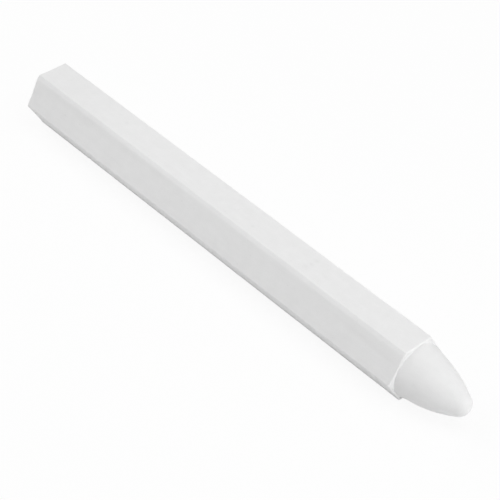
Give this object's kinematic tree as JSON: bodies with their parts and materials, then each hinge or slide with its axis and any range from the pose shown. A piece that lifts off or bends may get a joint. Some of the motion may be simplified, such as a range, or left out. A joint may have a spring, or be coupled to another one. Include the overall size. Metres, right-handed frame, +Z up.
{
  "type": "chalk stick",
  "caption": "Hexagonal stick of white marking chalk with crisp, barely eased edges, a flat butt end and a blunt bullet nose that steps in from a narrow flat shoulder.",
  "frame": {"origin": "under the middle of the stick's overall length, on the surface that it lies on", "axes": "+X along the stick towards the nose, +Z up through the flat opposite the one it lies on, +Y across the stick"},
  "size_m": [0.12, 0.0138, 0.012],
  "materials": {
    "chalk": "dry matte chalk, very slightly mottled"
  },
  "bodies": {
    "root": {"chalk_stick": "chalk"}
  },
  "joints": []
}
